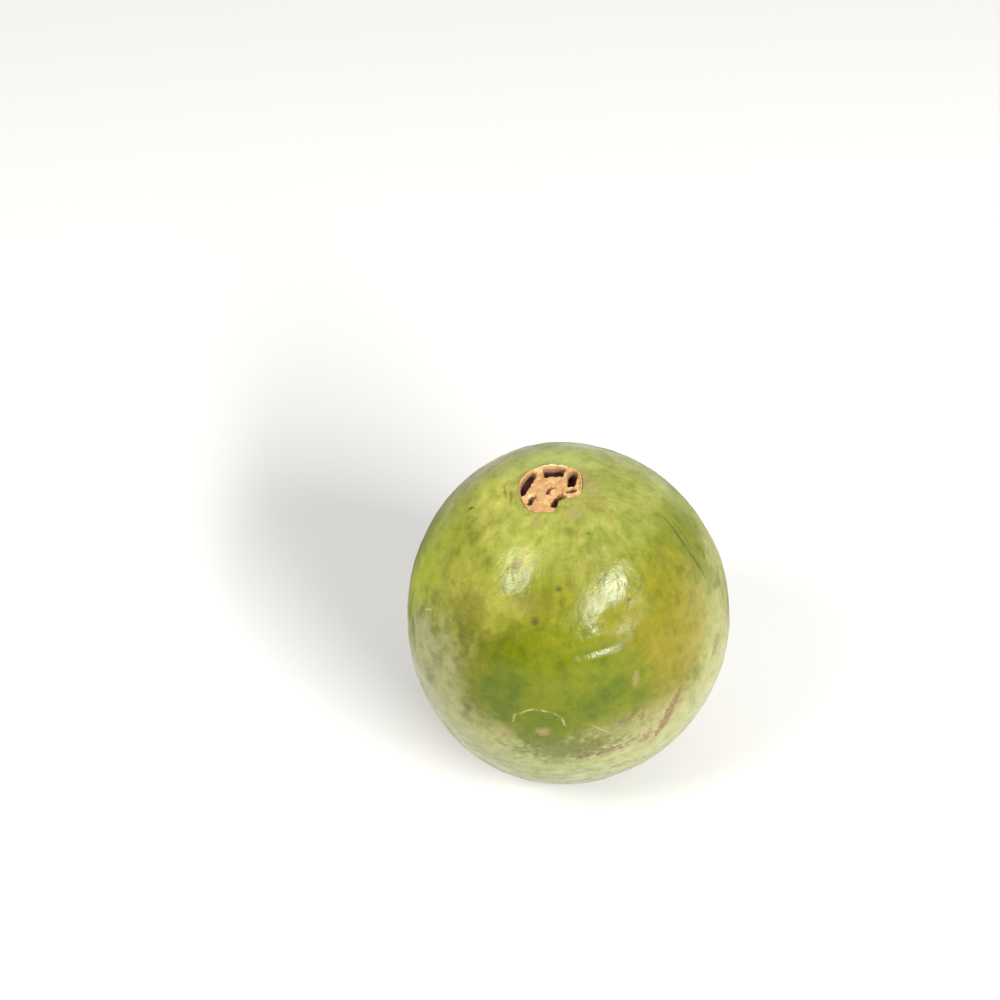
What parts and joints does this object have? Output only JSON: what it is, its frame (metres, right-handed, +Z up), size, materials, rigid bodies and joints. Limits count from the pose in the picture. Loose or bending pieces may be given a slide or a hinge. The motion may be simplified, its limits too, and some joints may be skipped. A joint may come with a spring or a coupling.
{
  "type": "guava",
  "caption": "Whole green guava standing on its stalk end, with the dried star-shaped calyx in its blossom end and a small stalk scar underneath.",
  "frame": {"origin": "middle of the fruit's box, at the level of the flat spot that it rests on", "axes": "+Z up along the fruit's length, from the stalk end to the calyx; -Y towards the viewer of the picture; +X to the viewer's right, away from the side to which the calyx leans"},
  "size_m": [0.0626, 0.0618, 0.0701],
  "materials": {
    "skin": "satin",
    "dry_calyx": "matte",
    "stalk_cork": "matte"
  },
  "bodies": {
    "root": {"fruit": "skin", "calyx": "dry_calyx", "stalk_scar": "stalk_cork"}
  },
  "joints": []
}
